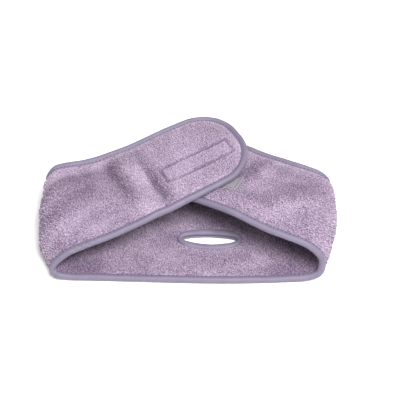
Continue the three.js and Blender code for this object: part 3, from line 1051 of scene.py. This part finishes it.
def slitWobble(path, inset, w):
    u, v = path[:, 0:1], path[:, 1:2]
    noise = clothNoise(u + 0 * inset, v * 3 + inset, slitBinding["rippleSize"], 91)
    ripple = noise * slitBinding["ripple"]
    below = np.where(w < 0, slitBinding["rippleBelow"], 1)
    return ripple, np.sign(w) * ripple * slitBinding["rippleUp"] * below


slitCloth = makePiece("slit_binding_cloth",
                      *sweep(slitEdgePath(), mirrored(slitRim), True, slitWobble),
                      bindingCloth, ("back",), "binding")
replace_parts(slitCloth, "slit_binding")
closedSlit = np.concatenate([slitEdgePath(), slitEdgePath()[:1]])
slitRows = [stitchRow(closedSlit, slitBinding["seamInset"], side * slitBinding["seamHeight"],
                      slitBinding["stitchPitch"], side) for side in (1, -1)]
slitSeam = makePiece("slit_stitches", *joinParts(slitRows), shadedThreadCloth, ("back",), "thread")
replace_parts(slitSeam, "slit_seam")


hookTape = {
    "base": 2.9,
    "thick": 0.9,
    "hookEdge": 1.6,
    "hookPitch": 1.45,
    "hookHeight": 0.75,
    "hookReach": 0.45,
    "hookRadius": 0.16,
    "hookSunk": 0.1,
    "bumps": 0.03,
    "seed": 61,
}
tape = {
    "edge": 1.2,
    "step": 0.8,
    "under": 0.5,
    "stitchInset": 2.0,
    "stitchPitch": 2.8,
    "stitchDip": 0.3,
    "dipWidth": 0.7,
    "stitchSunk": 0.1,
    "stitchProud": 0.15,
}


def tapeGrid(corners, side, spec):
    u0, u1, v0, v1 = corners
    base, thick, bumps, seed = (spec[key] for key in ("base", "thick", "bumps", "seed"))
    rows = np.linspace(u0, u1, int((u1 - u0) / tape["step"]) + 1)
    columns = np.linspace(v0, v1, int((v1 - v0) / tape["step"]) + 1)
    u, v = np.meshgrid(rows, columns, indexing="ij")
    inside = boxDistance(u, v, corners)
    high = base + thick * (0.55 + 0.45 * smooth(inside, 0, tape["edge"]))
    high = high + bumps * (clothNoise(u, v, 1.5, seed) + 0.6 * clothNoise(u, v, 0.9, seed + 1))
    sewn = np.exp(-((inside - tape["stitchInset"]) / tape["dipWidth"]) ** 2)
    high = high - tape["stitchDip"] * sewn
    low = np.full_like(high, base - tape["under"])
    index = np.arange(u.size).reshape(u.shape)
    under = index + u.size
    faces = [gridFaces(index), gridFaces(under, True),
             wallFaces(index[0], under[0]), wallFaces(index[-1][::-1], under[-1][::-1]),
             wallFaces(index[::-1, 0], under[::-1, 0]), wallFaces(index[:, -1], under[:, -1])]
    faces = np.concatenate(faces)
    points = np.concatenate([drape(u, v, side * high), drape(u, v, side * low)])
    clothUv = np.tile(np.stack([u.ravel(), v.ravel()], 1), (2, 1))
    return points, faces if side > 0 else faces[:, ::-1], clothUv


def hooksOn(corners, side, base):
    # short bent stalks in rows
    u0, u1, v0, v1 = corners
    edge, pitch, radius = (hookTape[size] for size in ("hookEdge", "hookPitch", "hookRadius"))
    rows = np.arange(u0 + edge, u1 - edge, pitch)
    columns = np.arange(v0 + edge, v1 - edge, pitch)
    u, v = (a.ravel()[:, None, None] for a in np.meshgrid(rows, columns, indexing="ij"))
    bend = np.linspace(0, 1, 5)[None, :, None]
    around = np.linspace(0, 2 * np.pi, 4, endpoint=False)[None, None, :]
    reach = hookTape["hookReach"] * np.sin(bend * np.pi * 0.9) * bend
    rise = hookTape["hookHeight"] * np.sin(bend * np.pi * 0.62)
    uu, vv, ww = np.broadcast_arrays(
        u + reach + radius * np.cos(around), v + radius * np.sin(around), base + rise)
    points = drape(uu, vv, side * ww)
    index = np.arange(uu.size).reshape(uu.shape)
    index = np.concatenate([index, index[:, :, :1]], 2)
    faces = np.concatenate([gridFaces(one) for one in index])
    clothUv = np.stack([uu.ravel(), vv.ravel()], 1)
    return points, faces, clothUv


def boxPath(corners, inset, step=0.8):
    u0, u1, v0, v1 = np.array(corners) + inset * np.array([1, -1, 1, -1])
    turns = [(u0, v0), (u1, v0), (u1, v1), (u0, v1), (u0, v0)]
    points = []
    for (a, b), (c, d) in zip(turns, turns[1:]):
        count = max(2, int(math.hypot(c - a, d - b) / step))
        share = np.arange(count) / count
        ahead = np.array([c - a, d - b]) / math.hypot(c - a, d - b)
        row = np.stack([a + (c - a) * share, b + (d - b) * share,
                        np.full(count, -ahead[1]), np.full(count, ahead[0])], 1)
        points.append(row)
    points = np.concatenate(points)
    return np.concatenate([points, points[:1]])


def makeTape(label, corners, side, spec, material, bodies, extra=()):
    parts = [tapeGrid(corners, side, spec), *extra]
    strip = makePiece(label + "_strip", *joinParts(parts), material, bodies, label.split("_")[0])
    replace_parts(strip, label)
    path = boxPath(corners, tape["stitchInset"])
    onTape = spec["base"] + spec["thick"] - tape["stitchSunk"]
    groove = hookBox["groove"] if side < 0 else 0
    onCloth = fleece["halfThick"] - groove + tape["stitchProud"]
    rows = [stitchRow(path, 0, side * onTape, tape["stitchPitch"], side),
            stitchRow(path, -tape["stitchInset"], -side * onCloth, tape["stitchPitch"], -side)]
    sewing = makePiece(label + "_stitches", *joinParts(rows), shadedThreadCloth, bodies, "thread")
    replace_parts(sewing, label + "_stitching")
    return strip, sewing


hookRoots = hookTape["base"] + hookTape["thick"] - hookTape["hookSunk"]
hookStrip, hookSewing = makeTape("hook_tape", hookArea, -1, hookTape, hookCloth, ("flap",),
                                 [hooksOn(hookArea, -1, hookRoots)])
loopStrip, loopSewing = makeTape("loop_tape", loopArea, 1, loopTape, loopCloth, ("right_arm",))
print("tapes sewn on")


studio = {
    "elevation": 47,
    "distance": 0.7,
    "aim": (0.0098, 0.0707, 0.03),
    "lens": 70.8,
    "sensor": 36,
    "keyPower": 26,
    "keySize": 0.65,
    "keyPlace": (0.36, -0.45, 1.06),
    "fillPower": 5,
    "fillPlace": (-0.4, -0.6, 0.9),
    "fillSize": 1.2,
    "world": 0.32,
    "floorHalf": 6,
}


def makeFloor():
    size = studio["floorHalf"]
    mesh = bpy.data.meshes.new("floor")
    mesh.from_pydata([(-size, -size, 0), (size, -size, 0), (size, size, 0), (-size, size, 0)], [],
                     [(0, 1, 2, 3)])
    material = bpy.data.materials.new("paleFloor")
    material.use_nodes = True
    shader = material.node_tree.nodes["Principled BSDF"]
    shader.inputs["Base Color"].default_value = (0.93, 0.93, 0.93, 1)
    shader.inputs["Roughness"].default_value = 0.9
    shader.inputs["Specular IOR Level"].default_value = 0.1
    mesh.materials.append(material)
    floor = bpy.data.objects.new("floor", mesh)
    bpy.context.scene.collection.objects.link(floor)


def makeLight(name, place, power, size):
    lamp = bpy.data.lights.new(name, "AREA")
    lamp.energy, lamp.size = power, size
    light = bpy.data.objects.new(name, lamp)
    light.location = place
    direction = -np.array(place)
    light.rotation_euler = (
        math.atan2(math.hypot(direction[0], direction[1]), -direction[2]), 0,
        math.atan2(direction[1], direction[0]) - math.pi / 2)
    bpy.context.scene.collection.objects.link(light)


def makeStudio():
    makeFloor()
    world = bpy.data.worlds.new("studio")
    world.use_nodes = True
    world.node_tree.nodes["Background"].inputs["Color"].default_value = (1, 1, 1, 1)
    world.node_tree.nodes["Background"].inputs["Strength"].default_value = studio["world"]
    bpy.context.scene.world = world
    makeLight("keyLight", studio["keyPlace"], studio["keyPower"], studio["keySize"])
    makeLight("fillLight", studio["fillPlace"], studio["fillPower"], studio["fillSize"])
    bpy.context.scene.view_settings.view_transform = "Standard"


def makeCamera():
    lens = bpy.data.cameras.new("camera")
    lens.lens, lens.sensor_width = studio["lens"], studio["sensor"]
    lens.clip_start = 0.01
    camera = bpy.data.objects.new("camera", lens)
    lift = math.radians(studio["elevation"])
    aim = np.array(studio["aim"]) + shift
    away = np.array([0, -math.cos(lift), math.sin(lift)]) * studio["distance"]
    camera.location = aim + away
    camera.rotation_euler = (math.pi / 2 - lift, 0, 0)
    bpy.context.scene.collection.objects.link(camera)
    bpy.context.scene.camera = camera


makeStudio()
makeCamera()
print("studio ready")
